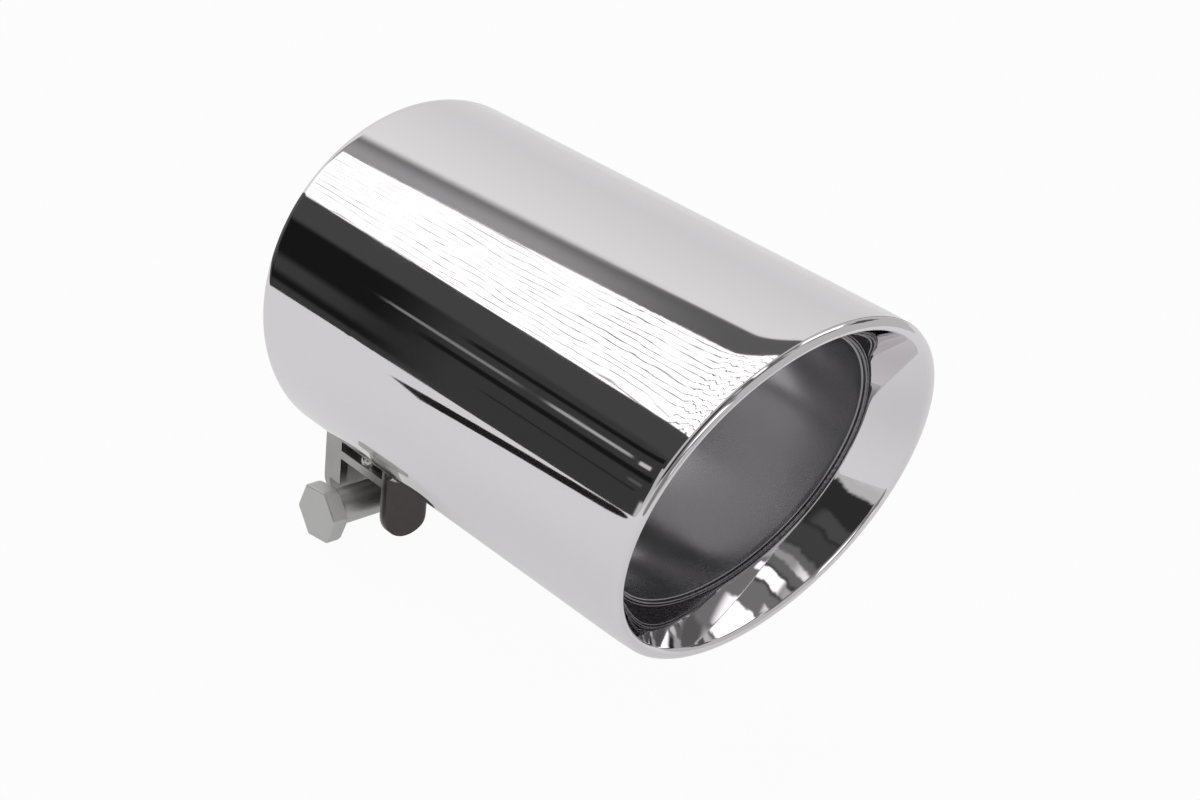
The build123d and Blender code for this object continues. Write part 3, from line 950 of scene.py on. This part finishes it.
def light_room(scene):
    """Room as a world, drawn by two numbers of a direction: its turn round the tube's axis, in
    degrees from straight down by the right, up and left, and how far it points along the tube.
    Pale walls, a long curtained window high on the left with dark trim above it, a dark
    doorway below it, a far end that is pale above the window's foot and dark below it, and a
    near end with panes of light and a lamp. The camera itself sees plain white."""
    world = bpy.data.worlds.new("soft_studio_room")
    scene.world = world
    world.use_nodes = True
    tree = world.node_tree
    tree.nodes.clear()
    output = add_node(tree, "ShaderNodeOutputWorld")
    direction = add_node(tree, "ShaderNodeTexCoord").outputs["Generated"]
    parts = add_node(tree, "ShaderNodeSeparateXYZ", inputs={0: direction})
    along = parts.outputs[1]
    radians = add_node(tree, "ShaderNodeMath", {"operation": "ARCTAN2"}, {
        0: parts.outputs[2], 1: parts.outputs[0]})
    degrees = add_node(tree, "ShaderNodeMath", {"operation": "DEGREES"}, {0: radians.outputs[0]})
    whole_turn, from_below = 360.0, 90.0
    shifted = add_node(tree, "ShaderNodeMath", {"operation": "ADD"}, {
        0: degrees.outputs[0], 1: from_below + whole_turn})
    turn = add_node(tree, "ShaderNodeMath", {"operation": "MODULO"}, {
        0: shifted.outputs[0], 1: whole_turn}).outputs[0]

    share = add_node(tree, "ShaderNodeMath", {"operation": "DIVIDE"}, {0: turn, 1: whole_turn})
    walls = add_node(tree, "ShaderNodeValToRGB", inputs={0: share.outputs[0]})
    stops = walls.color_ramp.elements
    while len(stops) < len(wall_levels):
        stops.new(0.5)
    for stop, (angle, grey) in zip(stops, wall_levels):
        stop.position = angle / whole_turn
        stop.color = (grey, grey, grey, 1)

    # Rear half, far end and near end: how far along each starts, and how far it is full
    rear, far_end, near_end = [
        add_node(tree, "ShaderNodeMapRange", {"interpolation_type": "SMOOTHSTEP"}, {
            "Value": along, "From Min": start, "From Max": full}).outputs[0]
        for start, full in ((0.60, 0.70), (0.80, 0.92), (0.40, 0.34))]

    front_trim, rear_trim, faded_trim = 0.12, 0.17, 0.36
    crisp, blurred, fade_shift, fade_width = 2.0, 7.0, 5.8, 12.0
    trim_top = add_node(tree, "ShaderNodeMix", inputs={
        "Factor": rear, "A": room_edge(tree, turn, along, trim_turn, trim_drift, crisp),
        "B": room_edge(tree, turn, along, trim_turn, trim_drift, blurred)}).outputs[0]
    trim_fade = room_edge(tree, turn, along, trim_turn + fade_shift, trim_drift, fade_width)
    trim_behind = add_node(tree, "ShaderNodeMix", inputs={
        "Factor": trim_fade, "A": rear_trim, "B": faded_trim}).outputs[0]
    trim = add_node(tree, "ShaderNodeMix", inputs={
        "Factor": rear, "A": front_trim, "B": trim_behind}).outputs[0]

    daylight, front_fold, rear_fold = 1.7, 0.22, 0.55
    tooth_height, edge_width = 2.4, 0.8
    fold_shade = add_node(tree, "ShaderNodeMix", inputs={
        "Factor": rear, "A": front_fold, "B": rear_fold}).outputs[0]
    curtain = add_node(tree, "ShaderNodeMix", inputs={
        "Factor": curtain_folds(tree, turn, along), "A": daylight, "B": fold_shade}).outputs[0]
    teeth = noise_of(tree, turn, along, turn_scale=0.0, along_scale=900.0, detail=0.0)
    toothed = add_node(tree, "ShaderNodeMath", {"operation": "MULTIPLY_ADD"}, {
        0: teeth, 1: tooth_height, 2: turn}).outputs[0]
    window_top = room_edge(
        tree, toothed, along, window_turn + tooth_height / 2, window_drift, edge_width)

    upper_doorway, lower_doorway, middle_width = 0.065, 0.045, 3.0
    doorway = add_node(tree, "ShaderNodeMix", inputs={
        "Factor": room_edge(tree, turn, along, doorway_turn, foot_drift, middle_width),
        "A": upper_doorway, "B": lower_doorway}).outputs[0]
    doorway = paint_shapes(tree, turn, along, doorway, doorway_shapes)
    window_foot = room_edge(tree, turn, along, foot_turn, foot_drift, edge_width)

    pale_end, dark_end, near_level, sway_degrees = 0.80, 0.10, 0.55, 9.0
    end_wall = add_node(tree, "ShaderNodeMix", inputs={
        "Factor": window_foot, "A": pale_end, "B": dark_end}).outputs[0]
    sway = noise_of(tree, turn, along, turn_scale=0.05, along_scale=14.0, detail=2.0)
    bent = add_node(tree, "ShaderNodeMath", {"operation": "MULTIPLY_ADD"}, {
        0: sway, 1: sway_degrees, 2: turn})
    bent_turn = add_node(tree, "ShaderNodeMath", {"operation": "SUBTRACT"}, {
        0: bent.outputs[0], 1: sway_degrees / 2}).outputs[0]
    near_wall = paint_shapes(tree, bent_turn, along, near_level, near_shapes)

    level = walls.outputs[0]
    layers = ((trim_top, trim), (window_top, curtain), (window_foot, doorway),
              (far_end, end_wall), (near_end, near_wall))
    for cover, shade in layers:
        level = add_node(tree, "ShaderNodeMix", inputs={
            "Factor": cover, "A": level, "B": shade}).outputs[0]

    room = add_node(tree, "ShaderNodeBackground", inputs={"Color": level, "Strength": 1.0})
    white = add_node(tree, "ShaderNodeBackground", inputs={"Color": (1, 1, 1, 1), "Strength": 1.0})
    path = add_node(tree, "ShaderNodeLightPath")
    mix = add_node(tree, "ShaderNodeMixShader", inputs={
        0: path.outputs["Is Camera Ray"], 1: room.outputs[0], 2: white.outputs[0]})
    tree.links.new(mix.outputs[0], output.inputs["Surface"])


def aim_camera(scene, studio):
    """Camera at its place, looking at its aim, rolled by its lean."""
    sensor_mm, nearest_seen = 36.0, 10.0 * MM
    place, aim = Vector(studio.camera_place), Vector(studio.camera_aim)
    forward = (aim - place).normalized()
    level = forward.cross(Vector((0, 0, 1))).normalized()
    upright = level.cross(forward)
    lean = studio.camera_lean
    right = math.cos(lean) * level + math.sin(lean) * upright
    up = math.cos(lean) * upright - math.sin(lean) * level
    data = bpy.data.cameras.new("studio_camera")
    data.lens = studio.lens_mm
    data.sensor_width = sensor_mm
    data.clip_start = nearest_seen
    camera = bpy.data.objects.new("studio_camera", data)
    camera.matrix_world = Matrix((
        (right.x, up.x, -forward.x, place.x), (right.y, up.y, -forward.y, place.y),
        (right.z, up.z, -forward.z, place.z), (0, 0, 0, 1)))
    scene.collection.objects.link(camera)
    scene.camera = camera


class EXHAUST_PT_panel(bpy.types.Panel):
    """Panel that lists the tip's pieces"""

    bl_label = "Exhaust Tip"
    bl_idname = "EXHAUST_PT_panel"
    bl_space_type = "VIEW_3D"
    bl_region_type = "UI"
    bl_category = "Exhaust Tip"

    def draw(self, context):
        for operator in operators:
            self.layout.operator(operator.bl_idname)
        for group in (context.scene.tip_sizes, context.scene.clamp_sizes,
                      context.scene.finish_colours, context.scene.studio_settings):
            box = self.layout.box()
            for name in group.__annotations__:
                box.prop(group, name)


operators = (EXHAUST_OT_shell, EXHAUST_OT_sleeve, EXHAUST_OT_clamp, EXHAUST_OT_stage)
groups = {"tip_sizes": TipSizes, "clamp_sizes": ClampSizes,
          "finish_colours": FinishColours, "studio_settings": StudioSettings}


def register():
    """Registers the classes and hangs the property groups on the scene."""
    for item in tuple(groups.values()) + operators + (EXHAUST_PT_panel,):
        bpy.utils.register_class(item)
    for name, group in groups.items():
        setattr(bpy.types.Scene, name, bpy.props.PointerProperty(type=group))


def unregister():
    """Takes away what register added."""
    for name in groups:
        delattr(bpy.types.Scene, name)
    for item in (EXHAUST_PT_panel,) + operators[::-1] + tuple(groups.values()):
        bpy.utils.unregister_class(item)


def main():
    register()
    bpy.ops.exhaust.shell()
    bpy.ops.exhaust.sleeve()
    bpy.ops.exhaust.clamp()
    bpy.ops.exhaust.stage()


if __name__ == "__main__":
    main()
